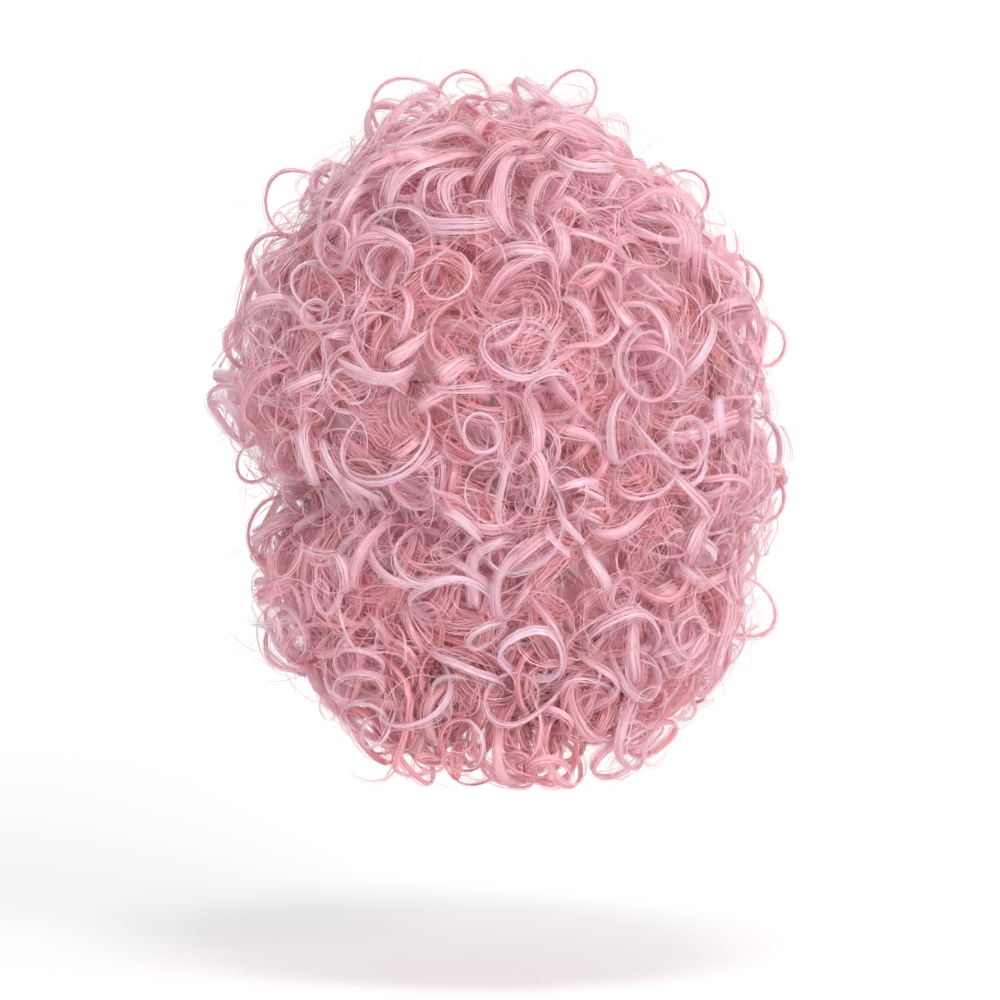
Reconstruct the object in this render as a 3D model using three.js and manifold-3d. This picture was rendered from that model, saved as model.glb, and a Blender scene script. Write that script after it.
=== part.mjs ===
// A curly afro wig, seen as it sits on a head: a stretch cap with an elastic edge band, and rows of
// wefts round it, each a layer of hair with curled locks. Millimetres, +Z up, the face looks along -Y.
// The origin is the inside of the cap at the crown, where the top of the head sits.
import * as THREE from "three";
import { LoftGeometry } from "three/addons/geometries/LoftGeometry.js";
import { mergeVertices } from "three/addons/utils/BufferGeometryUtils.js";
import Module from "manifold-3d";

const wasm = await Module();
wasm.setup();

// Head and cap
const HEAD = { halfWidth: 77, halfDepth: 96, crownHeight: 105 };
const CAP_WALL = 1.5;
const BAND = { wall: 1.9, height: 8, gap: 0.4 };
const HAIR_TO_HEAD = 5; // from the head's surface out to the first hair
const CAP_SIDES = { around: 24, upright: 12 };
const HOLLOW_SIDES = { around: 20, upright: 10 };
const OVER_HEAD = 20; // how far the cutting slabs reach past the head

// The cap's edge seen from the side, from the forehead to the nape
const CAP_EDGE = [
  { y: -110, z: -56 },
  { y: -88, z: -60 },
  { y: -62, z: -74 },
  { y: -40, z: -112 },
  { y: -22, z: -120 },
  { y: -6, z: -112 },
  { y: 20, z: -118 },
  { y: 60, z: -142 },
  { y: 110, z: -150 },
];

// Room for the neck and the face
const NECK = { halfWidth: 80, halfDepth: 73, top: -100, bottom: -380 };
const FACE = { halfWidth: 60, chinHalfWidth: 68, archTop: -86, archBase: -142, bottom: -380 };
const FACE_DEPTH = { front: -260, back: -18 };

// The hair's outline, one row for each level from the top to the hem, as reaches from the head's middle line
const OUTLINE = [
  { z: 33, left: 14, right: 14, back: 14, front: 14 },
  { z: 24, left: 62, right: 62, back: 60, front: 56 },
  { z: 2, left: 82, right: 86, back: 92, front: 86 },
  { z: -28, left: 108, right: 110, back: 120, front: 110 },
  { z: -66, left: 130, right: 133, back: 138, front: 124 },
  { z: -110, left: 146, right: 141, back: 147, front: 122 },
  { z: -150, left: 142, right: 140, back: 146, front: 104 },
  { z: -184, left: 121, right: 142, back: 140, front: 86 },
  { z: -222, left: 129, right: 139, back: 131, front: 72 },
  { z: -260, left: 121, right: 130, back: 122, front: 52 },
  { z: -290, left: 94, right: 100, back: 116, front: 12 },
  { z: -332, left: 45, right: 56, back: 108, front: -50 },
];
const HAIR_CENTRE = new THREE.Vector3(0, 10, -120);
const LAYER_SHARE = 0.86; // how far the combed hair reaches towards the outline; its locks fill the rest
const CORE_SHARE = 0.3; // well inside the head
const LAYER_GAP = 0.014; // in levels, about half a millimetre
const CLEAR_SHARE = 0.006; // a layer's room for its neighbours' curls

// The rows of wefts, as stretches of the outline's levels, with the locks and free curls on each
const WEFTS = [
  { name: "weft_1_crown", top: 0, bottom: 1.9, locks: 10, curls: 4 },
  { name: "weft_2_top", top: 1.9, bottom: 3.1, locks: 11, curls: 5 },
  { name: "weft_3_brow", top: 3.1, bottom: 4.2, locks: 12, curls: 5 },
  { name: "weft_4_temple", top: 4.2, bottom: 5.2, locks: 12, curls: 6 },
  { name: "weft_5_ear", top: 5.2, bottom: 6.2, locks: 12, curls: 6 },
  { name: "weft_6_jaw", top: 6.2, bottom: 7.35, locks: 12, curls: 5 },
  { name: "weft_7_neck", top: 7.35, bottom: 8.5, locks: 12, curls: 5 },
  { name: "weft_8_collar", top: 8.5, bottom: 9.7, locks: 11, curls: 4 },
  { name: "weft_9_nape", top: 9.7, bottom: 11, locks: 10, curls: 4 },
];

// A lock's bulge at heights down its weft, and how far it sways to the side there, in lock widths.
// The depth is a share of the outline, and every other weft is staggered.
const LOCK = { sides: 3, depth: 0.065, stagger: 0.5 };
const LOCK_HEIGHTS = [
  { down: 0, bulge: 0.4, sway: -0.15 },
  { down: 0.38, bulge: 0.9, sway: 0.2 },
  { down: 0.78, bulge: 1, sway: 0 },
  { down: 1, bulge: 0.5, sway: -0.2 },
];

// A free curl: a ribbon of hair wound once round, rooted in its layer
const CURL = {
  radius: 19,
  width: 12,
  thickness: 6,
  reach: 21,
  pitch: 12,
  turns: 1.1,
  closing: 0.15, // how much smaller the turn is at the tip
  taperFrom: 0.7,
  tipShare: 0.4,
  sections: 9,
  clearance: 0.5,
};

// How the curls of a weft differ: along it and down it as shares of their room, in size, and in their turn
const CURL_RANGE = {
  along: { low: -0.2, high: 0.2 },
  down: { low: 0.35, high: 0.75 },
  size: { low: 0.8, high: 1.2 },
  tilt: { low: THREE.MathUtils.degToRad(45), high: THREE.MathUtils.degToRad(88) },
  turned: { low: 0, high: 2 * Math.PI },
};

// Open loops that stand out of the outline to the left and right, by their level and outer reach
const LEFT = Math.PI / 2;
const RIGHT = -Math.PI / 2;
const LOOPS = [
  { weft: "weft_1_crown", level: 0.75, side: LEFT, radius: 21, reach: 34 },
  { weft: "weft_1_crown", level: 0.1, side: LEFT, radius: 14, reach: 29 },
  { weft: "weft_1_crown", level: 0.6, side: RIGHT, radius: 13, reach: 34 },
  { weft: "weft_2_top", level: 2.7, side: LEFT, radius: 17, reach: 36 },
  { weft: "weft_4_temple", level: 4.7, side: RIGHT, radius: 13, reach: 29 },
  { weft: "weft_7_neck", level: 7.8, side: LEFT, radius: 18, reach: 22 },
  { weft: "weft_8_collar", level: 8.8, side: RIGHT, radius: 16, reach: 25 },
  { weft: "weft_8_collar", level: 9.3, side: LEFT, radius: 17, reach: 22 },
];

const MATERIALS = {
  cap: new THREE.MeshStandardMaterial({ color: 0xd9a3ab, roughness: 0.85, metalness: 0 }),
  band: new THREE.MeshStandardMaterial({ color: 0xc98a95, roughness: 0.8, metalness: 0 }),
  hair: new THREE.MeshStandardMaterial({ color: 0xe3a2ac, roughness: 0.4, metalness: 0 }),
};

// A closed three.js geometry as a solid that can be joined and cut
function toSolid(geometry) {
  const bare = new THREE.BufferGeometry();
  bare.setAttribute("position", geometry.getAttribute("position"));
  bare.setIndex(geometry.index);
  const merged = mergeVertices(bare, 1e-4);
  const corners = merged.index.array;
  const kept = [];
  for (let i = 0; i < corners.length; i += 3) {
    const [a, b, c] = corners.slice(i, i + 3);
    if (a !== b && b !== c && c !== a) kept.push(a, b, c);
  }
  const vertProperties = new Float32Array(merged.attributes.position.array);
  return new wasm.Manifold(new wasm.Mesh({ numProp: 3, vertProperties, triVerts: new Uint32Array(kept) }));
}

function toMesh(solid, name, material) {
  const { vertProperties, triVerts } = solid.getMesh();
  const geometry = new THREE.BufferGeometry();
  geometry.setAttribute("position", new THREE.Float32BufferAttribute(vertProperties, 3));
  geometry.setIndex([...triVerts]);
  geometry.computeVertexNormals();
  const mesh = new THREE.Mesh(geometry, material);
  mesh.name = name;
  return mesh;
}

function joined(solids) {
  return solids.reduce((whole, next) => whole.add(next));
}

function largestBody(solid) {
  return solid.decompose().reduce((best, next) => (next.volume() > best.volume() ? next : best));
}

// The head's dome, grown by an offset, with its inside crown at the origin
function dome(offset, sides) {
  const geometry = new THREE.SphereGeometry(1, sides.around, sides.upright);
  geometry.rotateX(Math.PI / 2);
  geometry.scale(HEAD.halfWidth + offset, HEAD.halfDepth + offset, HEAD.crownHeight + offset);
  geometry.translate(0, 0, -HEAD.crownHeight);
  return toSolid(geometry);
}

// A side-view outline in Y and Z, made a slab across the whole head
function acrossHead(points) {
  const span = 2 * (HEAD.halfWidth + OVER_HEAD);
  const shape = new THREE.Shape(points.map(({ y, z }) => new THREE.Vector2(y, z)));
  const geometry = new THREE.ExtrudeGeometry(shape, { depth: span, bevelEnabled: false });
  geometry.translate(0, 0, -span / 2);
  geometry.applyMatrix4(new THREE.Matrix4().makeBasis(
    new THREE.Vector3(0, 1, 0),
    new THREE.Vector3(0, 0, 1),
    new THREE.Vector3(1, 0, 0),
  ));
  return toSolid(geometry);
}

function loweredEdge(drop) {
  return CAP_EDGE.map(({ y, z }) => ({ y, z: z - drop }));
}

function makeCap() {
  const first = CAP_EDGE[0];
  const last = CAP_EDGE[CAP_EDGE.length - 1];
  const aboveEdge = acrossHead([...CAP_EDGE, { y: last.y, z: OVER_HEAD }, { y: first.y, z: OVER_HEAD }]);
  return dome(CAP_WALL, CAP_SIDES).subtract(dome(0, CAP_SIDES)).intersect(aboveEdge);
}

function makeBand() {
  const upper = loweredEdge(BAND.gap);
  const lower = loweredEdge(BAND.gap + BAND.height);
  const strip = acrossHead([...lower, ...upper.reverse()]);
  return dome(BAND.wall, CAP_SIDES).subtract(dome(0, CAP_SIDES)).intersect(strip);
}

// The hollow that the head, neck and face take up
function makeHollow() {
  const neck = new THREE.CylinderGeometry(1, 1, NECK.top - NECK.bottom, HOLLOW_SIDES.around);
  neck.rotateX(Math.PI / 2);
  neck.scale(NECK.halfWidth, NECK.halfDepth, 1);
  neck.translate(0, 0, (NECK.top + NECK.bottom) / 2);

  const arch = new THREE.Shape();
  arch.moveTo(FACE.chinHalfWidth, FACE.bottom);
  arch.lineTo(FACE.halfWidth, FACE.archBase);
  arch.absellipse(0, FACE.archBase, FACE.halfWidth, FACE.archTop - FACE.archBase, 0, Math.PI, false);
  arch.lineTo(-FACE.chinHalfWidth, FACE.bottom);
  const face = new THREE.ExtrudeGeometry(arch, {
    depth: FACE_DEPTH.back - FACE_DEPTH.front,
    bevelEnabled: false,
    curveSegments: HOLLOW_SIDES.upright,
  });
  face.rotateX(Math.PI / 2);
  face.translate(0, FACE_DEPTH.back, 0);
  return joined([dome(HAIR_TO_HEAD, HOLLOW_SIDES), toSolid(neck), toSolid(face)]);
}

// The outline between its levels
const outlineAt = new THREE.CubicInterpolant(
  OUTLINE.map((row, level) => level),
  OUTLINE.flatMap(({ z, left, right, back, front }) => [z, left, right, back, front]),
  5,
  new Float64Array(5),
);

// A point of the hair at a level and an angle from the face, share 1 on the outline and 0 at the centre
function hairPoint(level, angle, share) {
  const [z, left, right, back, front] = outlineAt.evaluate(level);
  const point = new THREE.Vector3(
    (left - right) / 2 + ((left + right) / 2) * Math.sin(angle),
    (back - front) / 2 - ((back + front) / 2) * Math.cos(angle),
    z,
  );
  return point.sub(HAIR_CENTRE).multiplyScalar(share).add(HAIR_CENTRE);
}

// A weft's rings of points from its upper edge to its lower one, in and out with its locks
function lockRings({ top, bottom, locks }, row, gap, grow) {
  const sides = locks * LOCK.sides;
  const stagger = LOCK.stagger * (row % 2);
  return LOCK_HEIGHTS.map(({ down, bulge, sway }) => {
    const level = THREE.MathUtils.lerp(top + (row > 0 ? gap : 0), bottom - gap, down);
    return Array.from({ length: sides }, (_, i) => {
      const lock = i / LOCK.sides + sway + stagger;
      const out = bulge * (0.5 + 0.5 * Math.cos(2 * Math.PI * lock));
      return hairPoint(level, (2 * Math.PI * i) / sides, LAYER_SHARE + LOCK.depth * out + grow);
    });
  });
}

// A weft's layer of combed locks; the crown and the hem are closed over, the others run round the head
function makeLayer(weft, row, gap, grow) {
  const rings = lockRings(weft, row, gap, grow);
  const upperCore = rings[0].map((point) => HAIR_CENTRE.clone().lerp(point, CORE_SHARE));
  const lowerCore = rings[rings.length - 1].map((point) => HAIR_CENTRE.clone().lerp(point, CORE_SHARE));
  const closed = { capStart: true, capEnd: true };
  if (row === 0) return toSolid(new LoftGeometry([lowerCore, ...rings.reverse()], closed));
  if (row === WEFTS.length - 1) return toSolid(new LoftGeometry([...rings.reverse(), upperCore], closed));
  const profile = [...rings, lowerCore, upperCore];
  const around = rings[0].map((point, i) => profile.map((ring) => ring[i]));
  return toSolid(new LoftGeometry([...around, around[0]]));
}

// A number in a range, always the same one for the same weft, curl and use
function vary({ low, high }, row, i, use) {
  const wave = Math.sin(row * 402.68 + (i + 1) * 12.9898 + use * 78.233) * 43758.5453;
  return THREE.MathUtils.lerp(low, high, wave - Math.floor(wave));
}

// A ring that stands on its layer at a level and angle; tilt turns its axis from outwards to sideways
function placeRing({ level, angle, radius, tilt, turned, reach }) {
  const nearby = 0.05;
  const foot = hairPoint(level, angle, LAYER_SHARE);
  const round = hairPoint(level, angle + nearby, LAYER_SHARE).sub(foot).normalize();
  const down = hairPoint(level + nearby, angle, LAYER_SHARE).sub(foot).normalize();
  const out = new THREE.Vector3().crossVectors(down, round).normalize();
  const lean = round.applyAxisAngle(out, turned);
  const axis = out.clone().multiplyScalar(Math.cos(tilt)).addScaledVector(lean, Math.sin(tilt));
  const inward = out.clone().negate();
  inward.addScaledVector(axis, -inward.dot(axis)).normalize();
  const halfLength = (CURL.pitch + CURL.width) / 2;
  const centre = foot.addScaledVector(out, reach - radius * Math.sin(tilt) - halfLength * Math.cos(tilt));
  return { centre, axis, inward, radius };
}

// Curls spread along a weft, each turned its own way
function curlPlaces(weft, row) {
  return Array.from({ length: weft.curls }, (_, i) => {
    const along = i + LOCK.stagger * (row % 2) + vary(CURL_RANGE.along, row, i, 1);
    return placeRing({
      angle: (2 * Math.PI * along) / weft.curls,
      level: THREE.MathUtils.lerp(weft.top, weft.bottom, vary(CURL_RANGE.down, row, i, 2)),
      radius: CURL.radius * vary(CURL_RANGE.size, row, i, 3),
      tilt: vary(CURL_RANGE.tilt, row, i, 4),
      turned: vary(CURL_RANGE.turned, row, i, 5),
      reach: CURL.reach,
    });
  });
}

// Loops stand upright, with their axis level from front to back
function loopPlaces(weft) {
  return LOOPS.filter((loop) => loop.weft === weft.name).map(({ level, side, radius, reach }) =>
    placeRing({ level, angle: side, radius, tilt: Math.PI / 2, turned: 0, reach }),
  );
}

function isClear({ centre, radius }) {
  const margin = radius / 2;
  const beforeFace = centre.y < 0 && Math.abs(centre.x) < FACE.halfWidth + margin;
  const inFace = beforeFace && centre.z < FACE.archTop + margin;
  const overNeck = Math.hypot(centre.x / NECK.halfWidth, centre.y / NECK.halfDepth) < 1;
  return !inFace && !(overNeck && centre.z < NECK.top);
}

// A ribbon wound round its axis, from its root in the layer to its thinner tip
function makeCurl({ centre, axis, inward, radius }, clearance) {
  const side = new THREE.Vector3().crossVectors(axis, inward);
  const sections = Array.from({ length: CURL.sections }, (_, i) => {
    const along = i / (CURL.sections - 1);
    const turn = 2 * Math.PI * CURL.turns * along;
    const radial = inward.clone().multiplyScalar(Math.cos(turn)).addScaledVector(side, Math.sin(turn));
    const middle = centre.clone();
    middle.addScaledVector(radial, radius * (1 - CURL.closing * along));
    middle.addScaledVector(axis, CURL.pitch * (along - 0.5));
    const taper = Math.max(0, (along - CURL.taperFrom) / (1 - CURL.taperFrom));
    const size = THREE.MathUtils.lerp(1, CURL.tipShare, taper);
    const across = axis.clone().multiplyScalar((CURL.width / 2) * size + clearance);
    const through = radial.clone().multiplyScalar((CURL.thickness / 2) * size + clearance);
    return [
      middle.clone().sub(through).add(across),
      middle.clone().add(through),
      middle.clone().sub(through).sub(across),
    ];
  });
  return toSolid(new LoftGeometry(sections, { capStart: true, capEnd: true }));
}

// Each weft gives way to the wefts above it, and all of them to the head
function makeWefts() {
  const hollow = makeHollow();
  const above = [];
  return WEFTS.map((weft, row) => {
    const places = [...curlPlaces(weft, row), ...loopPlaces(weft)].filter(isClear);
    const layer = makeLayer(weft, row, LAYER_GAP, 0);
    const room = makeLayer(weft, row, 0, CLEAR_SHARE);
    const hair = joined([layer, ...places.map((place) => makeCurl(place, 0))]);
    const cut = above.reduce((left, upper) => left.subtract(upper), hair.subtract(hollow));
    above.push(joined([room, ...places.map((place) => makeCurl(place, CURL.clearance))]));
    return toMesh(largestBody(cut), weft.name, MATERIALS.hair);
  });
}

const wig = new THREE.Group();
wig.name = "afro_wig";
wig.add(toMesh(makeCap(), "cap", MATERIALS.cap));
wig.add(toMesh(makeBand(), "edge_band", MATERIALS.band));
wig.add(...makeWefts());

export default wig;
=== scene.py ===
# Curly wig: combed hair, ring curls and loose hairs on a net cap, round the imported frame
import math

import bmesh
import bpy
import numpy as np
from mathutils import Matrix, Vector


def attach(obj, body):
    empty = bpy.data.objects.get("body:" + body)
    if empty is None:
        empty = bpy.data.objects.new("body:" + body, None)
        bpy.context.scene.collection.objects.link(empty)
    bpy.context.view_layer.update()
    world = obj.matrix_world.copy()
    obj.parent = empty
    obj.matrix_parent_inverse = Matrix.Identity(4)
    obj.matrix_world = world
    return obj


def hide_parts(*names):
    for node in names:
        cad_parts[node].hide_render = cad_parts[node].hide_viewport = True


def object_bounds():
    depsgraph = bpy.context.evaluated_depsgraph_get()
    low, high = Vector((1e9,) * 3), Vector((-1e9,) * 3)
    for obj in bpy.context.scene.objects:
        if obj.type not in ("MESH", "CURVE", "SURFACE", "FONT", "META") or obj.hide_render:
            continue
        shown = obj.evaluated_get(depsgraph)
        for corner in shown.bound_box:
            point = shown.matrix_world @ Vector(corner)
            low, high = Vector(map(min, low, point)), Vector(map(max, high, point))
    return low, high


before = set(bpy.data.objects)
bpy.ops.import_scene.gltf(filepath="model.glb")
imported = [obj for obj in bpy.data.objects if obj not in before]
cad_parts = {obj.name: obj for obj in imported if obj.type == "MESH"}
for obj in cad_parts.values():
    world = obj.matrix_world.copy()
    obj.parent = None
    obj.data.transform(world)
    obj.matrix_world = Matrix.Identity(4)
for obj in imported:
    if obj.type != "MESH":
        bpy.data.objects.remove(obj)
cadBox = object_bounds()
mm = 0.001  # lengths below are in millimetres until a mesh is made
rng = np.random.default_rng(41)
scene = bpy.context.scene
print("frame loaded:", len(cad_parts), "nodes")

# the hair's outline from the top to the hem, as reaches from the head's middle line
outline = {
    "z": [33, 24, 2, -28, -66, -110, -150, -184, -222, -260, -290, -332],
    "left": [14, 58, 76, 110, 132, 142, 142, 107, 129, 121, 96, 52],
    "right": [14, 50, 64, 101, 127, 136, 138, 141, 128, 129, 102, 58],
    "back": [14, 60, 92, 120, 138, 147, 146, 140, 131, 122, 116, 108],
    "front": [14, 56, 86, 110, 124, 122, 104, 86, 72, 52, 12, -50],
}
hairCentre = np.array([0.0, 10.0, -120.0])
hem = len(outline["z"]) - 1

# the rows of wefts by the outline's levels, with the number of their largest curls
wefts = {
    "weft_1_crown": {"top": 0.0, "bottom": 1.9, "curls": 4},
    "weft_2_top": {"top": 1.9, "bottom": 3.1, "curls": 5},
    "weft_3_brow": {"top": 3.1, "bottom": 4.2, "curls": 5},
    "weft_4_temple": {"top": 4.2, "bottom": 5.2, "curls": 6},
    "weft_5_ear": {"top": 5.2, "bottom": 6.2, "curls": 6},
    "weft_6_jaw": {"top": 6.2, "bottom": 7.35, "curls": 5},
    "weft_7_neck": {"top": 7.35, "bottom": 8.5, "curls": 5},
    "weft_8_collar": {"top": 8.5, "bottom": 9.7, "curls": 4},
    "weft_9_nape": {"top": 9.7, "bottom": 11.0, "curls": 4},
}

# room for the head, the neck and the face
hollow = {
    "head": (77, 96, 105),
    "hairToHead": 5,
    "neck": (80, 73),
    "neckTop": -100,
    "faceHalf": 60,
    "chinHalf": 68,
    "archTop": -86,
    "archBase": -142,
    "hem": -380,
    "faceBack": -18,
}

rows = np.array([outline[key] for key in ("z", "left", "right", "back", "front")], float).T


# a row more at each end, as the smooth curve needs it
def padEnds(values):
    values = np.array(values, float)
    return np.vstack([2 * values[0] - values[1], values, 2 * values[-1] - values[-2]])


# a smooth curve through padded rows, at places counted in rows
def smoothAt(padded, place):
    place = np.clip(np.asarray(place, float), 0, len(padded) - 3)
    i = np.minimum(place.astype(int), len(padded) - 4)
    f = (place - i)[..., None]
    a, b, c, d = (padded[i + k] for k in range(4))
    return b + 0.5 * f * (c - a + f * (2 * a - 5 * b + 4 * c - d + f * (3 * (b - c) + d - a)))


outlineRows = padEnds(rows)


def outlineAt(level):
    return smoothAt(outlineRows, level)


# share 1 is on the outline and 0 at the hair's centre; the angle runs round from the face
def shellPoint(level, angle, share):
    z, left, right, back, front = np.moveaxis(outlineAt(level), -1, 0)
    x = (left - right) / 2 + (left + right) / 2 * np.sin(angle)
    y = (back - front) / 2 - (back + front) / 2 * np.cos(angle)
    point = np.stack(np.broadcast_arrays(x, y, z), -1)
    return hairCentre + (point - hairCentre) * np.asarray(share)[..., None]


def unit(v):
    return v / np.maximum(np.linalg.norm(v, axis=-1, keepdims=True), 1e-9)


# a point of the shell with its directions round the head, down and outwards
def shellFrame(level, angle, share):
    near = 0.05
    level = np.clip(level, near, hem - near)
    foot = shellPoint(level, angle, share)
    around = unit(shellPoint(level, angle + near, share) - shellPoint(level, angle - near, share))
    down = unit(shellPoint(level + near, angle, share) - shellPoint(level - near, angle, share))
    out = unit(np.cross(down, around))
    return foot, around, down, out


def girth(level):
    return math.pi * outlineAt(level)[..., 1:].sum(-1) / 2


# places spread evenly over the shell
evenLevels = np.linspace(0, hem, 300)
slant = np.linalg.norm(np.gradient(shellPoint(evenLevels, math.pi, 1), axis=0), axis=1)
evenShares = girth(evenLevels) * slant / np.sum(girth(evenLevels) * slant)


def anyPlace():
    return rng.choice(evenLevels, p=evenShares), rng.uniform(0, 2 * math.pi)


def inHollow(points, margin=0.0):
    x, y, z = np.moveaxis(points, -1, 0)
    grow = hollow["hairToHead"] - margin
    a, b, c = (half + grow for half in hollow["head"])
    head = (x / a) ** 2 + (y / b) ** 2 + ((z + hollow["head"][2]) / c) ** 2 < 1
    nx, ny = (half - margin for half in hollow["neck"])
    neck = (z < hollow["neckTop"] - margin) & ((x / nx) ** 2 + (y / ny) ** 2 < 1)
    rise = np.clip((z - hollow["archBase"]) / (hollow["archTop"] - hollow["archBase"]), 0, 1)
    chin = np.interp(z, [hollow["hem"], hollow["archBase"]], [hollow["chinHalf"], hollow["faceHalf"]])
    half = chin * np.sqrt(1 - rise**2) - margin
    face = (y < hollow["faceBack"]) & (z < hollow["archTop"] - margin) & (np.abs(x) < half)
    return head | neck | face


# all hair stays within this distance of the frame's box
outerRoom = 13.0
lowRoom = np.array(cadBox[0]) / mm - outerRoom
highRoom = np.array(cadBox[1]) / mm + outerRoom


def outOfRoom(points):
    return ((points < lowRoom) | (points > highRoom)).any()


# slow waves through all the hair, so that no curl stays a true circle
def sway(points, size=1.7):
    x, y, z = np.moveaxis(points, -1, 0)
    shift = [
        np.sin(y / 9.1 + z / 13.7),
        np.sin(z / 8.3 - x / 12.1),
        np.sin(x / 8.7 + y / 11.9),
    ]
    return points + size * np.stack(shift, -1)


# strands collect here by weft, as arrays, until the wefts' meshes are made
stores = {name: {"verts": [], "normals": [], "uvs": [], "quads": [], "count": 0} for name in wefts}
bulge = math.radians(22)  # how far a strand's shading turns at its edges, as if it were round
lanes = 40  # tints side by side on the hair's map, from deep rose to pale pink
mapMargin = 0.02
streakSize = 0.6
streaksPerLane = 5


def weftAt(level):
    for name, row in wefts.items():
        if level < row["bottom"]:
            return name
    return name


# flat strands along paths: wides are their broad directions, tones their tints from 0 to 1
def addStrands(weft, paths, wides, halfWidth, tones):
    strands, count = paths.shape[:2]
    paths = sway(paths)
    along = unit(np.gradient(paths, axis=1))
    broad = unit(wides - along * np.sum(wides * along, -1, keepdims=True))
    outward = np.sum(np.cross(along, broad) * (paths - hairCentre), (1, 2))
    broad = broad * np.where(outward < 0, -1, 1)[:, None, None]  # the face looks away from the head
    edges = np.array([1, -1])[:, None]
    verts = paths[:, :, None] + broad[:, :, None] * edges * halfWidth[..., None, None]
    flat = np.cross(along, broad)
    normals = flat[:, :, None] * math.cos(bulge) + broad[:, :, None] * edges * math.sin(bulge)

    length = np.cumsum(np.linalg.norm(np.diff(paths, axis=1), axis=-1), axis=1)
    u = np.hstack([np.zeros((strands, 1)), length]) / length[:, -1:]
    lane = np.clip(np.asarray(tones) * lanes, 0, lanes - 1)
    spread = halfWidth.max(1)[:, None] / (streakSize * streaksPerLane)
    v = np.clip((lane[:, None] + 0.5 + spread * np.array([1, -1])) / lanes, 0.001, 0.999)
    uvs = np.stack(np.broadcast_arrays(mapMargin + (1 - 2 * mapMargin) * u[:, :, None], v[:, None]), -1)

    store = stores[weft]
    base = store["count"] + np.arange(strands) * count * 2
    start = base[:, None] + np.arange(count - 1) * 2
    store["verts"].append(verts.reshape(-1, 3))
    store["normals"].append(normals.reshape(-1, 3))
    store["uvs"].append(uvs.reshape(-1, 2))
    store["quads"].append(np.stack([start, start + 1, start + 3, start + 2], -1).reshape(-1, 4))
    store["count"] += strands * count * 2


# values along a path, at shares of its length
def sample(values, at):
    place = np.clip(at, 0, 1) * (len(values) - 1)
    i = np.minimum(place.astype(int), len(values) - 2)
    f = (place - i)[..., None]
    return values[i] * (1 - f) + values[i + 1] * f


def slowWaves(count, at, size):
    phase = rng.uniform(0, 2 * math.pi, (count, 1))
    pace = rng.uniform(2, 7, (count, 1))
    return size * np.sin(phase + pace * at)


# a lock is satin bands round a flat roll, with fine strands over them, of which some stray
lockLook = {
    "flatness": 0.4,
    "bands": (1.8, 0.9),
    "overlap": 1.15,
    "strands": (4.0, 3.0),
    "halfWidth": (0.12, 0.3),
    "latestStart": 0.1,
    "bandEnds": (0.66, 0.96),
    "strandEnds": (0.78, 1),
    "bandFull": 0.85,
    "strandFull": (0.5, 1.1),
    "loose": (0.2, 0.05),
    "halo": (0.35, 1.9),
    "stray": (0.14, 1.8),
    "unevenness": 0.3,
    "twist": 0.7,
    "tilt": 0.2,
    "bandTilt": 0.3,
    "toneSpread": 0.07,
    "strandTone": 0.04,
    "bandTone": -0.06,
    "taper": ([0, 0.15, 0.55, 1], [0.4, 1, 0.9, 0.05]),
    "gather": ([0, 0.2, 0.65, 1], [0.5, 1, 1, 0.35]),
}


def addLock(weft, path, wide, width, tone, look=lockLook):
    bands, strands = (round(few + more * width) for few, more in (look["bands"], look["strands"]))
    count = bands + strands
    fine = (np.arange(count) >= bands)[:, None]
    along = unit(np.gradient(path, axis=0))
    broad = unit(wide - along * np.sum(wide * along, -1, keepdims=True))
    flat = np.cross(along, broad)

    s = np.linspace(0, 1, len(path))
    start = rng.uniform(0, look["latestStart"], (count, 1))
    early, late = (np.where(fine, *ends) for ends in zip(look["strandEnds"], look["bandEnds"]))
    at = start + (rng.uniform(early, late, (count, 1)) - start) * s
    turn = np.concatenate([np.arange(bands) / bands, np.arange(strands) / strands])[:, None]
    uneven = rng.uniform(-look["unevenness"], look["unevenness"], (count, 1))
    turn = 2 * math.pi * (turn + uneven / np.where(fine, strands, bands))
    turn = turn + rng.uniform(0, math.pi) + rng.normal(0, look["twist"]) * s
    full = 0.5 * width * np.interp(at, *look["gather"])
    share, far = look["halo"]
    halo = np.where(rng.random((count, 1)) < share, far, 1)
    full = full * np.where(fine, rng.uniform(*look["strandFull"], (count, 1)) * halo, look["bandFull"])
    share, far = look["stray"]
    strays = fine & (rng.random((count, 1)) < share)
    loose = look["loose"][0] + look["loose"][1] * width + strays * far * (0.3 + at)
    side = full * np.cos(turn) + slowWaves(count, at, 1) * loose
    lift = full / halo * look["flatness"] * np.sin(turn) + slowWaves(count, at, 1) * loose
    paths = sample(path, at) + sample(broad, at) * side[..., None] + sample(flat, at) * lift[..., None]
    lean = np.arctan2(-look["flatness"] * np.cos(turn), np.sin(turn))
    lean = lean + rng.normal(0, look["tilt"], (count, 1)) * np.where(fine, 1, look["bandTilt"])
    wides = sample(broad, at) * np.cos(lean)[..., None] + sample(flat, at) * np.sin(lean)[..., None]
    girthShare = math.pi / bands * np.hypot(np.sin(turn), look["flatness"] * np.cos(turn))
    thin = rng.uniform(*look["halfWidth"], (count, 1))
    half = np.where(fine, thin, look["overlap"] * full * girthShare) * np.interp(s, *look["taper"])
    tones = tone + rng.normal(0, look["toneSpread"], count)
    tones = tones + np.where(fine[:, 0], look["strandTone"], look["bandTone"])
    addStrands(weft, paths, wides, half, np.clip(tones, 0.02, 0.98))


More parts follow.
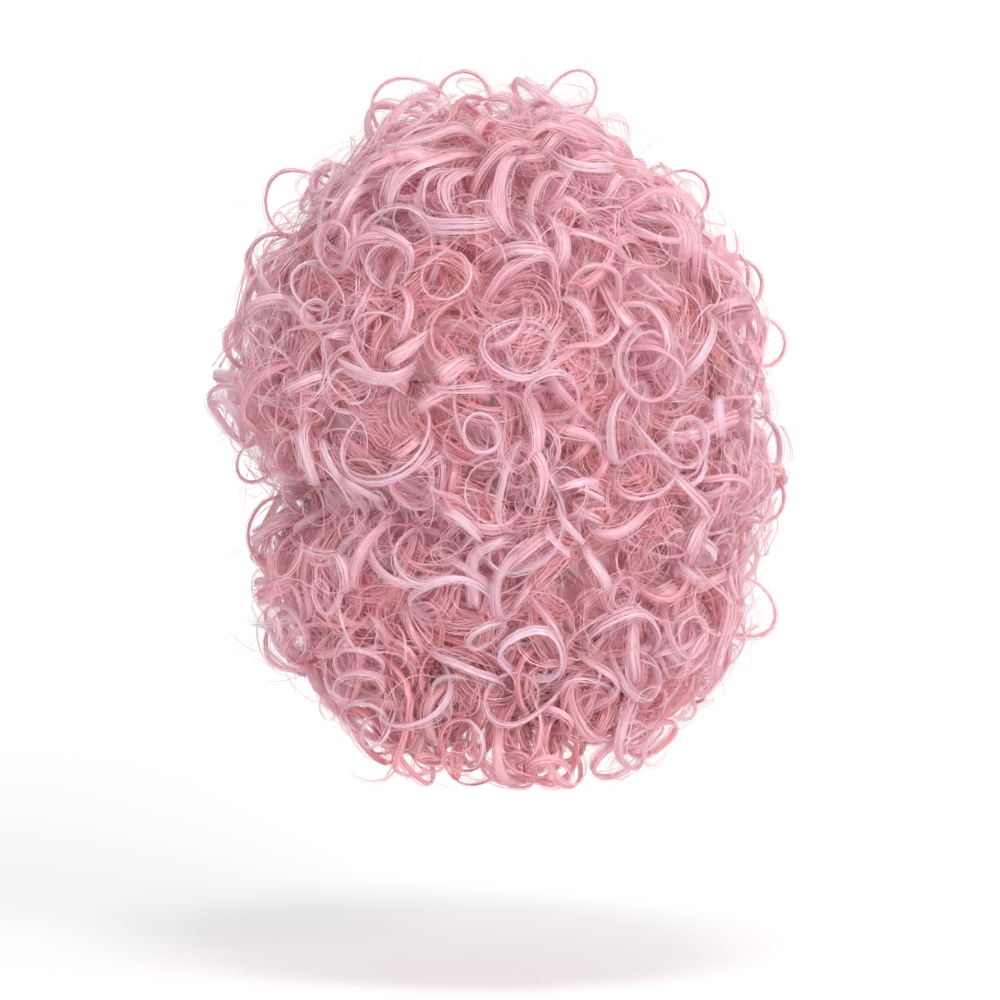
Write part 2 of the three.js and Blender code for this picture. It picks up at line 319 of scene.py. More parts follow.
# what all curls have in common
curlForm = {
    "share": 0.87,
    "rootShare": 0.81,
    "highestRoot": 0.06,
    "leadSteps": 6,
    "leadEase": 1.1,
    "rise": 0.5,
    "steps": (13, 17),
    "largeFrom": 17,
    "unround": 0.06,
    "drift": 0.14,
    "sweep": 0.7,
    "reach": (12, 22),
    "hangFrom": 0.8,
    "hang": (-4, 16),
    "toHead": 4,
    "inHead": 0.04,
}


# a curl: hair that leads down the shell into a ring, whose axis tilts from outwards to sideways
def curlPath(curl):
    foot, around, down, out = shellFrame(curl["level"], curl["angle"], curl["share"])
    lean = around * math.cos(curl["turned"]) - down * math.sin(curl["turned"])
    axis = unit(out * math.cos(curl["tilt"]) + lean * math.sin(curl["tilt"]))
    depth = curl["radius"] * math.sin(curl["tilt"]) + 0.5 * curl["pitch"] * math.cos(curl["tilt"])
    centre = foot + out * (curl["reach"] - depth) + down * curl["drop"]

    rootLevel = max(curl["level"] - curl["lead"], curlForm["highestRoot"])
    rootAngle = curl["angle"] + curl["drift"]
    root, rootRound, rootDown, rootOut = shellFrame(rootLevel, rootAngle, curlForm["rootShare"])

    first = unit(np.cross(axis, out if abs(axis @ out) < 0.9 else around))
    second = np.cross(axis, first) * curl["hand"]
    way = centre - root
    phase = math.atan2(-(way @ first), way @ second)
    few, many = curlForm["steps"]
    steps = few if curl["radius"] < curlForm["largeFrom"] else many
    v = np.linspace(0, 1, max(6, round(steps * curl["turns"])))
    turn = phase + 2 * math.pi * curl["turns"] * v
    unround = 1 + curlForm["unround"] * np.sin(2 * turn + curl["turned"])
    radius = curl["radius"] * (1 - curl["closing"] * v) * unround
    ring = (
        centre
        + (first * np.cos(turn)[:, None] + second * np.sin(turn)[:, None]) * radius[:, None]
        + axis * (curl["pitch"] * (v - 0.5))[:, None]
    )
    entry = unit(ring[1] - ring[0])
    leave = unit(rootDown + curlForm["rise"] * rootOut + curl["sweep"] * rootRound)
    span = curlForm["leadEase"] * np.linalg.norm(ring[0] - root)
    s = np.linspace(0, 1, curlForm["leadSteps"], endpoint=False)[:, None]
    lead = (
        root * (2 * s**3 - 3 * s**2 + 1)
        + leave * span * (s**3 - 2 * s**2 + s)
        + ring[0] * (3 * s**2 - 2 * s**3)
        + entry * span * (s**3 - s**2)
    )
    rootWide = np.cross(rootOut, leave)
    if rootWide @ axis < 0:
        rootWide = -rootWide
    ease = np.concatenate([s[:, 0] ** 2 * (3 - 2 * s[:, 0]), np.ones(len(v))])[:, None]
    return np.vstack([lead, ring]), unit(rootWide * (1 - ease) + axis * ease)


# kinds of curl by their ranges; tilt is in degrees, lead in levels of the outline
curlKinds = {
    "ring": {"tilt": (5, 60), "radius": (8, 19), "turns": (1.05, 1.7), "closing": (0.1, 0.4),
             "pitch": (3, 10), "lead": (0.5, 1.1), "width": (1.6, 4)},
    "roll": {"tilt": (62, 90), "radius": (9, 15), "turns": (0.85, 1.35), "closing": (0.1, 0.35),
             "pitch": (3, 9), "lead": (0.5, 1.1), "width": (3.5, 6.5)},
    "wave": {"tilt": (10, 75), "radius": (18, 34), "turns": (0.3, 0.65), "closing": (0, 0.3),
             "pitch": (4, 14), "lead": (0.9, 1.7), "width": (3, 6.5)},
    "corkscrew": {"tilt": (70, 90), "radius": (7, 11), "turns": (1.6, 2.3), "closing": (0, 0.3),
                  "pitch": (22, 36), "lead": (0.5, 0.9), "width": (2.5, 5)},
}
kindShares = {"ring": 0.5, "roll": 0.16, "wave": 0.28, "corkscrew": 0.06}
crownShares = {"ring": 0.16, "roll": 0.1, "wave": 0.72, "corkscrew": 0.02}


# the hair stands out in soft lumps, by crossed waves: their pace in level and angle, and their start
lumpWaves = [(2.3, 4, 0), (1.7, -5, 1)]
# painted light on the lumps, painted shade between them and at the hem, as shifts of the tint
paintedLightLook = {"lump": 0.1, "hem": -0.12, "hemFrom": 8.2, "hemOver": 2}


# from -1 between the lumps to 1 on them
def lump(level, angle):
    return math.prod(math.sin(a * level + b * angle + start) for a, b, start in lumpWaves)


# painted light and shade: the lumps are painted paler and the hollows between them darker, and painted
# shade deepens the tint towards the hem
def paintedLightAndShade(level, angle):
    low = min(max((level - paintedLightLook["hemFrom"]) / paintedLightLook["hemOver"], 0), 1)
    return paintedLightLook["lump"] * lump(level, angle) + paintedLightLook["hem"] * low


def pickKind(shares):
    return rng.choice(list(shares), p=list(shares.values()))


def pickCurl(level, angle, kind):
    curl = {key: rng.uniform(*limits) for key, limits in curlKinds[kind].items()}
    curl["tilt"] = math.radians(curl["tilt"])
    curl.update(
        level=level,
        angle=angle,
        share=curlForm["share"],
        turned=rng.uniform(0, 2 * math.pi),
        hand=rng.choice([-1, 1]),
        drift=rng.normal(0, curlForm["drift"]),
        sweep=rng.normal(0, curlForm["sweep"]),
        reach=rng.uniform(*curlForm["reach"]),
        drop=0.0,
    )
    if kind == "corkscrew":
        curl["turned"] = -math.pi / 2 + rng.normal(0, 0.4)
    if level > hem - curlForm["hangFrom"]:  # the lowest curls hang below the hem
        low, high = curlForm["hang"]
        curl["drop"] = rng.uniform(low, high - curl["radius"] / 2)
    return curl


def addCurl(curl, tone):
    path, wide = curlPath(curl)
    if inHollow(path, curlForm["toHead"]).mean() > curlForm["inHead"] or outOfRoom(path):
        return False
    addLock(weftAt(curl["level"]), path, wide, curl["width"], tone)
    return True


# the largest curls of each weft, spread by the same rule as their solids
def vary(low, high, row, i, use):
    wave = math.sin(row * 402.68 + (i + 1) * 12.9898 + use * 78.233) * 43758.5453
    return low + (high - low) * (wave - math.floor(wave))


largeCurl = {"radius": 19, "reach": 21, "pitch": 12, "width": 6, "turns": 1.1, "closing": 0.15}
# painted light: the curls that show in front get the palest tint
curlTones = {"large": (0.58, 0.08), "seen": (0.8, 0.06), "loop": 0.55}
seenShare = 0.95  # about where a curl is seen, between the hair's centre and its outline
taken = []  # places of the curls that the smaller ones leave room for
for row, weft in enumerate(wefts.values()):
    for i in range(weft["curls"]):
        along = i + 0.5 * (row % 2) + vary(-0.2, 0.2, row, i, 1)
        level = weft["top"] + (weft["bottom"] - weft["top"]) * vary(0.35, 0.75, row, i, 2)
        curl = pickCurl(level, 2 * math.pi * along / weft["curls"], "roll")
        curl.update(
            largeCurl,
            radius=largeCurl["radius"] * vary(0.8, 1.2, row, i, 3),
            tilt=math.radians(vary(45, 88, row, i, 4)),
            turned=vary(0, 2 * math.pi, row, i, 5),
        )
        if addCurl(curl, rng.normal(*curlTones["large"])):
            taken.append((shellPoint(level, curl["angle"], seenShare), curl["radius"]))

# curls that show from behind: x and z as seen there, half their width and height, their band and turns
seenCurls = [
    (-26, -27, 31, 18, 9, 1.25),
    (-39, -2, 18, 17, 7, 0.7),
    (22, -27, 20, 17, 10, 0.6),
    (-10, -66, 20, 12, 10, 0.9),
    (-50, -72, 17, 13, 6, 1.2),
    (-10, -101, 17, 15, 4, 1.4),
    (58, -48, 23, 18, 6, 1.2),
    (60, -57, 13, 10, 3.5, 1.5),
    (88, -48, 14, 13, 4, 1.5),
    (103, -69, 8, 12, 4, 1.1),
    (-83, -36, 17, 14, 2, 1.4),
    (86, -109, 14, 10, 8, 0.8),
    (27, -119, 17, 8, 8, 0.55),
    (67, -153, 24, 18, 4, 1.6),
    (-26, -129, 14, 12, 5, 1.4),
    (-69, -143, 17, 20, 5, 1.3),
    (-12, -177, 12, 27, 5, 0.9),
    (84, -193, 14, 9, 4, 1.3),
    (51, -217, 23, 16, 5, 1.2),
    (44, -223, 16, 11, 4, 1.5),
    (28, -249, 23, 16, 6, 1.7),
    (-8, -236, 12, 17, 5, 1.3),
    (-17, -279, 17, 15, 6, 1.9),
    (-67, -270, 20, 16, 5, 1.3),
    (51, -303, 20, 15, 5, 0.9),
    (22, -303, 20, 14, 5, 1.2),
    (-76, -114, 18, 18, 4, 1.4),
    (-116, -143, 8, 11, 4, 1.3),
    (-105, -202, 9, 10, 4, 1.5),
    (13, -149, 10, 9, 4, 1.5),
    (78, -281, 13, 12, 4, 1.5),
    (-98, -265, 11, 11, 4, 1.4),
    (-45, -300, 15, 12, 5, 1.3),
    (-4, -304, 14, 12, 6, 1.2),
    (76, -294, 13, 12, 5, 1.3),
    (-74, -290, 13, 11, 4, 1.4),
]
seenCurlLook = {"closing": 0.12, "pitch": 6, "reach": 22, "drop": 0}
bandShare = 0.85  # of a curl's band as it is seen, with its loose hairs
cameraLook = {"aim": (1.5, 0, -181), "distance": 2500, "elevation": 2.5, "frameWidth": 510}


# the place on the shell that is seen at x and z of the head's middle plane from behind
def behindPlace(x, z):
    y = 120.0  # a first guess, which each turn betters
    for _ in range(4):
        nearer = 1 - y / cameraLook["distance"]
        realX = cameraLook["aim"][0] + (x - cameraLook["aim"][0]) * nearer
        realZ = cameraLook["aim"][2] + (z - cameraLook["aim"][2]) * nearer
        realZ += y * math.tan(math.radians(cameraLook["elevation"]))
        level = float(np.interp(-realZ, -rows[:, 0], np.arange(hem + 1)))
        left, right = outlineAt(level)[1:3]
        side = np.clip((realX - (left - right) / 2) / ((left + right) / 2), -0.98, 0.98)
        angle = math.pi - math.asin(side)
        y = shellPoint(level, angle, seenShare)[1]
    return level, angle


for x, z, halfWidth, halfHeight, band, turns in seenCurls:
    level, angle = behindPlace(x, z)
    radius = max(halfWidth, halfHeight)
    flatness = min(halfWidth, halfHeight) / radius
    curl = pickCurl(level, angle, "ring")
    curl.update(
        seenCurlLook,
        radius=radius,
        tilt=math.acos(min(flatness, 0.98)),
        turned=rng.choice([-1, 1]) * math.pi / 2 if halfWidth > halfHeight else 0.0,
        width=bandShare * band,
        turns=turns,
    )
    if addCurl(curl, rng.normal(*curlTones["seen"])):
        taken.append((shellPoint(level, angle, seenShare), radius))

# locks that show from behind: their band and the points that they pass there, from root to tip
seenLocks = [
    (8, [(-21, 2), (-8, 0), (2, -11), (4, -27), (0, -40), (-12, -47)]),
    (7, [(-53, -17), (-37, -11), (-21, -13), (-14, -24), (-13, -35), (-18, -42)]),
    (4, [(-20, -25), (-31, -24), (-39, -31), (-37, -37)]),
    (9, [(-18, 6), (-31, 13), (-43, 11), (-53, 1), (-56, -11)]),
    (7, [(-12, -45), (-31, -42), (-49, -45), (-63, -57), (-66, -72)]),
    (9, [(10, -78), (0, -62), (-16, -56), (-28, -61)]),
    (2.5, [(-59, -27), (-77, -22), (-94, -32), (-99, -47)]),
    (9, [(17, 12), (45, 0), (64, -12), (79, -22)]),
    (8, [(2, 18), (27, 13), (53, 3), (67, -10)]),
    (7, [(7, 6), (21, -7), (31, -18), (30, -31), (21, -43)]),
    (8, [(14, 8), (32, -8), (42, -20), (43, -33), (37, -42)]),
    (7, [(-8, 0), (5, -18), (6, -31), (-2, -44)]),
    (6, [(5, 14), (22, 3), (40, -8), (55, -22), (60, -34)]),
    (6, [(-5, 16), (-22, 15), (-38, 6), (-46, -6)]),
    (6, [(-30, 5), (-50, -4), (-66, -10), (-80, -24)]),
    (3, [(78, -79), (81, -91), (77, -104), (70, -115), (55, -122), (47, -130)]),
    (9, [(43, -123), (30, -118), (20, -114), (10, -110)]),
    (7, [(72, -114), (55, -107), (44, -100), (34, -93)]),
    (7, [(-56, -101), (-74, -102), (-87, -110), (-91, -121), (-88, -134)]),
    (4, [(-63, -79), (-61, -89), (-51, -100), (-37, -104), (-22, -108)]),
    (6, [(0, -151), (-14, -158), (-21, -172), (-21, -188), (-14, -202)]),
    (5, [(-21, -145), (-34, -149), (-45, -154), (-53, -165)]),
    (4, [(-65, -183), (-50, -178), (-36, -180), (-25, -182)]),
    (4, [(47, -171), (32, -180), (18, -186), (12, -196)]),
]
seenLockLook = {
    "steps": 22,
    "rise": ([0, 0.3, 0.8, 1], [-8, 15, 18, 14]),
    "lean": 0.5,
    "bandShare": 0.95,
    "tone": (0.62, 0.06),
    "room": 14,
}
s = np.linspace(0, 1, seenLockLook["steps"])
for band, points in seenLocks:
    seen = smoothAt(padEnds(points), np.linspace(0, len(points) - 1, len(s)))
    levels, angles = np.array([behindPlace(x, z) for x, z in seen]).T
    foot, _, _, out = shellFrame(levels, angles, curlForm["share"])
    path = foot + out * np.interp(s, *seenLockLook["rise"])[:, None]
    lean = rng.normal(0, seenLockLook["lean"])
    flat = np.cross(out, unit(np.gradient(path, axis=0)))
    wide = flat * math.cos(lean) + out * math.sin(lean)
    width = seenLockLook["bandShare"] * band
    addLock(weftAt(levels.mean()), path, wide, width, rng.normal(*seenLockLook["tone"]))
    taken.append((path[len(path) // 2], seenLockLook["room"]))

# open loops that stand out of the outline: level, side (1 is left), radius and reach
loops = [
    (0.75, 1, 21, 30),
    (0.1, 1, 14, 26),
    (0.6, -1, 13, 30),
    (3.0, 1, 17, 33),
    (2.8, -1, 15, 26),
    (4.0, -1, 14, 25),
    (6.2, 1, 12, 22),
    (7.0, -1, 15, 23),
    (4.7, -1, 13, 29),
    (7.8, 1, 18, 22),
    (8.8, -1, 16, 25),
    (9.3, 1, 17, 22),
]
loopLook = {
    "tilt": math.radians(88),
    "turned": 0.0,
    "turns": 1.2,
    "closing": 0.12,
    "pitch": 9,
    "lead": 0.6,
    "width": 3.5,
    "share": 0.86,
}
made = 0
for level, side, radius, reach in loops:
    curl = pickCurl(level, side * math.pi / 2, "ring")
    curl.update(loopLook, radius=radius, reach=reach)
    made += addCurl(curl, curlTones["loop"])
print("large curls:", len(taken), "loops:", made)

# smaller curls all over, on a staggered net of places
curlNet = {
    "levelStep": 0.55,
    "spacing": 25.0,
    "fewest": 6,
    "crown": 2.4,
    "hem": (1.3, 2.0),
    "room": (0.75, 0.25),
    "tuck": 8,
    "lump": 4.0,
    "tone": 0.36,
    # painted shade by depth: curls that reach less far out get a deeper tint
    "paintedLightPerReach": 0.02,
    "toneSpread": 0.08,
    "toneLimits": (0.15, 0.95),
}


# angles of one row, which are staggered against the rows beside it
def netAngle(row, i, count, uneven):
    return 2 * math.pi * (i + 0.5 * (row % 2) + rng.uniform(-uneven, uneven)) / count


def crowded(level, angle, radius):
    place = shellPoint(level, angle, seenShare)
    theirs, own = curlNet["room"]
    return any(np.linalg.norm(place - other) < theirs * size + own * radius for other, size in taken)


made = 0
for k, level in enumerate(np.arange(0.25, hem + 0.1, curlNet["levelStep"])):
    count = max(curlNet["fewest"], round(girth(level) / curlNet["spacing"]))
    if level > hem - curlNet["hem"][0]:
        count = round(count * curlNet["hem"][1])
    shares = crownShares if level < curlNet["crown"] else kindShares
    for i in range(count):
        angle = netAngle(k, i, count, 0.35)
        kind = pickKind(shares)
        curl = pickCurl(min(level + rng.uniform(-0.3, 0.3), hem), angle, kind)
        if crowded(curl["level"], angle, curl["radius"]):
            curl["reach"] -= curlNet["tuck"]  # under its larger neighbour
        curl["reach"] += curlNet["lump"] * lump(curl["level"], angle)
        # painted shade by depth: the tint pales as the curl reaches further out
        tone = curlNet["tone"] + curlNet["paintedLightPerReach"] * curl["reach"]
        # the tint takes the painted light of the lumps and the painted shade of the hollows and the hem
        tone = tone + paintedLightAndShade(curl["level"], angle) + rng.normal(0, curlNet["toneSpread"])
        made += addCurl(curl, np.clip(tone, *curlNet["toneLimits"]))
print("smaller curls:", made)

# more curls in depth at the hem, which is open below, in deeper tints that paint their shade
hemCurls = {
    "all": (76, 1.3),
    "middle": (14, 0.5),
    "levels": (10.2, 11.0),
    "kinds": {"ring": 0.7, "wave": 0.3},
    "share": (0.8, 0.96),
    "reach": (0, 14),
    # painted shade: the curls in depth at the hem get deeper tints
    "tone": (0.25, 0.5),
}


def addHemCurls(count, around):
    made = 0
    for _ in range(count):
        level = rng.uniform(*hemCurls["levels"])
        angle = math.pi + rng.uniform(-1, 1) * around
        curl = pickCurl(level, angle, pickKind(hemCurls["kinds"]))
        curl.update(share=rng.uniform(*hemCurls["share"]), reach=rng.uniform(*hemCurls["reach"]))
        made += addCurl(curl, rng.uniform(*hemCurls["tone"]))
    print("hem curls:", made)


addHemCurls(*hemCurls["all"])

# thin curls over and between the others: arcs that rise from the shell and sink back
wisps = {
    "count": 1020,
    "crownShare": 0.45,
    "tilt": (0, 55),
    "bend": (7, 24),
    "closing": (0.5, 1.1),
    "turns": (0.5, 1.6),
    "reach": (9, 22),
    "width": (0.3, 1.8),
    "tone": (0.4, 0.85),
    "steps": 20,
    "rise": ([0, 0.3, 0.75, 1], [-8, 0, 0, -2]),
}
wispLook = dict(lockLook, bands=(1, 0), overlap=0.25, strands=(1.0, 1.4), loose=(0.5, 0.1))
made = 0
s = np.linspace(0, 1, wisps["steps"])
for _ in range(wisps["count"]):
    level, angle = anyPlace()
    if level < curlNet["crown"] and rng.random() > wisps["crownShare"]:
        continue
    foot, around, down, out = shellFrame(level, angle, curlForm["share"])
    tilt = math.radians(rng.uniform(*wisps["tilt"]))
    spin = rng.uniform(0, 2 * math.pi)
    first = around * math.cos(spin) + down * math.sin(spin)
    second = np.cross(out, first) * math.cos(tilt) + out * math.sin(tilt)
    bend = rng.uniform(*wisps["bend"])
    radius = bend * np.linspace(1, rng.uniform(*wisps["closing"]), wisps["steps"])[:, None]
    turn = (rng.uniform(0, 6) + 2 * math.pi * rng.uniform(*wisps["turns"]) * s)[:, None]
    lift = rng.uniform(*wisps["reach"]) - bend * math.sin(tilt) + np.interp(s, *wisps["rise"])
    path = foot + radius * (first * np.cos(turn) + second * np.sin(turn)) + out * lift[:, None]
    if inHollow(path, 3).mean() > curlForm["inHead"] or outOfRoom(path):
        continue
    wide = np.broadcast_to(np.cross(first, second), path.shape)
    # the tint takes the painted light of the lumps and the painted shade of the hollows and the hem
    tone = rng.uniform(*wisps["tone"]) + paintedLightAndShade(level, angle)
    addLock(weftAt(level), path, wide, rng.uniform(*wisps["width"]), tone, wispLook)
    made += 1
print("wisps:", made)


# paths that wander over the shell from a place, by their heading from straight down and their bend
def walkShell(level, angle, heading, bend, length, steps):
    near = 0.02
    edge = 0.03
    share = 0.85
    least = 5  # of the millimetres in a level or in a radian
    step = length / (steps - 1)
    places = [(level, angle)]
    for _ in range(steps - 1):
        here = shellPoint(level, angle, share)
        perLevel = np.linalg.norm(shellPoint(level + near, angle, share) - here, axis=-1) / near
        perAngle = np.linalg.norm(shellPoint(level, angle + near, share) - here, axis=-1) / near
        level = np.clip(level + np.cos(heading) * step / max(perLevel, least), edge, hem - edge)
        angle = angle + np.sin(heading) * step / max(perAngle, least)
        heading = heading + bend * step
        places.append((level, angle))
    return np.array(places).T


# widths and tints of the thin strands in a lock under the curls
underHair = {
    "taper": ([0, 0.2, 0.7, 1], [0.6, 1, 1, 0.2]),
    "toneSpread": (0.1, 0.12),
    "toneLimits": (0.05, 0.95),
}


def underWidths(look, s):
    return rng.uniform(*look["halfWidth"], (look["strands"], 1)) * np.interp(s, *underHair["taper"])


# shift moves all the tints; through it the combed hair gets the painted light and shade of the lumps and
# the hem
def underTones(look, shift=0):
    locks, single = underHair["toneSpread"]
    tones = shift + rng.normal(look["tone"], locks) + rng.normal(0, single, look["strands"])
    return np.clip(tones, *underHair["toneLimits"])


# combed hair under the curls: flat locks that fall in arcs from each row of stitching
combed = {
    "levelStep": 0.5,
    "spacing": 18.5,
    "fewest": 9,
    "share": (0.80, 0.89),
    "strands": 15,
    "halfWidth": (0.2, 0.5),
    "spread": 5.0,
    "unevenness": 1.5,
    "lean": 0.4,
    "heading": 1.3,
    "crownHeading": 0.3,
    "hemFrom": 1.8,
    "hemHeading": (0.8, 1.7),
    "bend": (0.02, 0.075),
    "length": (36, 75),
    "wave": 2,
    # painted shade: the combed hair under the curls gets a deeper tint
    "tone": 0.36,
    "steps": 13,
}
made = 0
strands = combed["strands"]
s = np.linspace(0, 1, combed["steps"])
for k, level in enumerate(np.arange(0.1, hem - 0.3, combed["levelStep"])):
    count = max(combed["fewest"], round(girth(level) / combed["spacing"]))
    for i in range(count):
        angle = netAngle(k, i, count, 0.4)
        ease = combed["crownHeading"] if level < curlNet["crown"] else 1
        heading = rng.normal(0, combed["heading"] * ease)
        if level > hem - combed["hemFrom"]:
            heading = rng.choice([-1, 1]) * rng.uniform(*combed["hemHeading"])
        bend = rng.choice([-1, 1]) * rng.uniform(*combed["bend"])
        heading = heading - 0.3 * bend * combed["length"][0]
        start = level + rng.uniform(-0.2, 0.2)
        length = rng.uniform(*combed["length"])
        levels, angles = walkShell(start, angle, heading, bend, length, combed["steps"])
        foot, _, _, out = shellFrame(levels, angles, rng.uniform(*combed["share"]))
        wave = combed["wave"] * np.sin(rng.uniform(0, 6) + rng.uniform(3, 7) * s)
        path = foot + out * wave[:, None]
        if inHollow(path, 2).mean() > 0.05 or (levels > hem - 0.05).sum() > 2:
            continue
        across = np.cross(out, unit(np.gradient(path, axis=0)))
        side = rng.uniform(-1, 1, (strands, 1)) * combed["spread"] + slowWaves(strands, s, 1.2)
        lift = rng.normal(0, combed["unevenness"], (strands, 1)) + slowWaves(strands, s, 1)
        paths = path + across * side[..., None] + out * lift[..., None]
        lean = rng.normal(0, combed["lean"], (strands, 1, 1))
        wides = across * np.cos(lean) + out * np.sin(lean)
        half = underWidths(combed, s)
        # the tints take the painted light of the lumps and the painted shade of the hollows and the hem
        tones = underTones(combed, paintedLightAndShade(level, angle))
        addStrands(weftAt(level + 0.5), paths, wides, half, tones)
        made += 1
print("combed locks:", made)

# the backing under the locks: a row of combed hair from the shell in to the head, in deeper tints that
# paint the shade under the locks
backing = {"share": 0.79, "around": 72, "down": 4, "gap": 0.01, "repeat": 16, "tone": (0.2, 0.6)}


# where the way in to the hair's centre meets the room for the head, by halves
def innerPoint(points):
    near = np.zeros(len(points))
    far = np.ones(len(points))
    for _ in range(16):
        half = (near + far) / 2
        inside = inHollow(points + (hairCentre - points) * half[:, None], -1.0)
        far = np.where(inside, half, far)
        near = np.where(inside, near, half)
    return points + (hairCentre - points) * near[:, None]


# straighter hair on the inner side, where the wefts hang below the cap
innerHair = {
    "levels": (3.9, 10.8),
    "levelStep": 0.55,
    "spacing": 12.0,
    "strands": 9,
    "halfWidth": (0.25, 0.7),
    "spread": 8.0,
    "wave": 1.5,
    "lift": (0.6, 3.0),
    "liftWave": 0.6,
    "leastLift": 0.4,
    "lean": 0.4,
    "heading": 0.35,
    "bend": 0.012,
    "length": (45, 85),
    # painted shade: the inner hair gets a deeper tint
    "tone": 0.4,
    "steps": 11,
    "hemAround": 1.3,
    "hemStep": 0.06,
    "hemLeast": 6,
}
made = 0
strands = innerHair["strands"]
s = np.linspace(0, 1, innerHair["steps"])


def innerLift():
    lift = rng.uniform(*innerHair["lift"], (strands, 1)) + slowWaves(strands, s, innerHair["liftWave"])
    return np.maximum(lift, innerHair["leastLift"])[..., None]


for k, level in enumerate(np.arange(*innerHair["levels"], innerHair["levelStep"])):
    count = round(0.6 * girth(level) / innerHair["spacing"])
    for i in range(count):
        angle = netAngle(k, i, count, 0.3)
        start = level + rng.uniform(-0.2, 0.2)
        heading = rng.normal(0, innerHair["heading"])
        bend = rng.normal(0, innerHair["bend"])
        length = rng.uniform(*innerHair["length"])
        levels, angles = walkShell(start, angle, heading, bend, length, innerHair["steps"])
        shell, around, _, out = shellFrame(levels, angles, backing["share"])
        if inHollow(shell, 2).any():
            continue
        side = rng.uniform(-1, 1, (strands, 1)) * innerHair["spread"]
        side = side + slowWaves(strands, s, innerHair["wave"])
        wall = innerPoint((shell + around * side[..., None]).reshape(-1, 3)).reshape(strands, len(s), 3)
        paths = wall - out * innerLift()
        half = underWidths(innerHair, s)
        tones = underTones(innerHair)
        lean = rng.normal(0, innerHair["lean"], (strands, 1, 1))
        addStrands(weftAt(level + 0.4), paths, around + out * lean, half, tones)
        made += 1
print("inner locks:", made)

# and on the slope from the inner side down to the hem
made = 0
ends = math.pi - innerHair["hemAround"], math.pi + innerHair["hemAround"]
for angle in np.arange(*ends, innerHair["hemStep"]):
    foot, around, _, _ = shellFrame(hem, angle + rng.normal(0, 0.03), backing["share"])
    shell = foot + around * rng.uniform(-1, 1, (strands, 1)) * innerHair["spread"]
    wall = innerPoint(shell)
    slope = shell - wall
    if np.linalg.norm(slope, axis=1).min() < innerHair["hemLeast"]:
        continue
    inward = unit(np.cross(around, slope))
    inward = (inward * np.where(inward[:, 1:2] > 0, -1, 1))[:, None]
    paths = wall[:, None] + slope[:, None] * (1.25 * s - 0.15)[:, None] + inward * innerLift()
    paths = paths + around * slowWaves(strands, s, innerHair["wave"])[..., None]
    half = underWidths(innerHair, s)
    lean = rng.normal(0, innerHair["lean"], (strands, 1, 1))
    wides = np.broadcast_to(around + inward * lean, paths.shape)
    addStrands(weftAt(hem), paths, wides, half, underTones(innerHair))
    made += 1
print("inner hem locks:", made)

# fine loose hairs that fill the gaps and cross the curls
fuzz = {
    "count": 8000,
    "share": (0.80, 0.94),
    "halfWidth": (0.1, 0.2),
    "thinning": 0.5,
    "bend": (7, 26),
    "turn": (0.7, 2.6),
    "lean": 0.4,
    "rise": (-0.5, 1.3),
    "tone": (0.25, 0.95),
    "steps": 8,
}
made = 0
for _ in range(fuzz["count"]):
    level, angle = anyPlace()
    foot, around, down, out = shellFrame(level, angle, rng.uniform(*fuzz["share"]))
    spin = rng.uniform(0, 2 * math.pi)
    first = around * math.cos(spin) + down * math.sin(spin)
    second = unit(np.cross(out, first) + out * rng.normal(0, fuzz["lean"]))
    turn = np.linspace(0, rng.uniform(*fuzz["turn"]), fuzz["steps"])[:, None]
    path = foot + rng.uniform(*fuzz["bend"]) * (first * np.sin(turn) + second * (1 - np.cos(turn)))
    path = path + out * rng.normal(*fuzz["rise"]) * turn
    if inHollow(path, 2).any() or outOfRoom(path):
        continue
    half = rng.uniform(*fuzz["halfWidth"]) * np.interp(turn.T, [0, turn.max()], [1, fuzz["thinning"]])
    wides = np.broadcast_to(first * rng.normal() + second * rng.normal() + out, path.shape)[None]
    addStrands(weftAt(level), path[None], wides, half, [rng.uniform(*fuzz["tone"])])
    made += 1
print("loose hairs:", made)
addHemCurls(*hemCurls["middle"])


# closes the holes of a backing whose edges lie between two heights
def fillRim(bm, low, high):
    rim = [e for e in bm.edges if e.is_boundary and all(low < v.co.z < high for v in e.verts)]
    bmesh.ops.holes_fill(bm, edges=rim, sides=0)


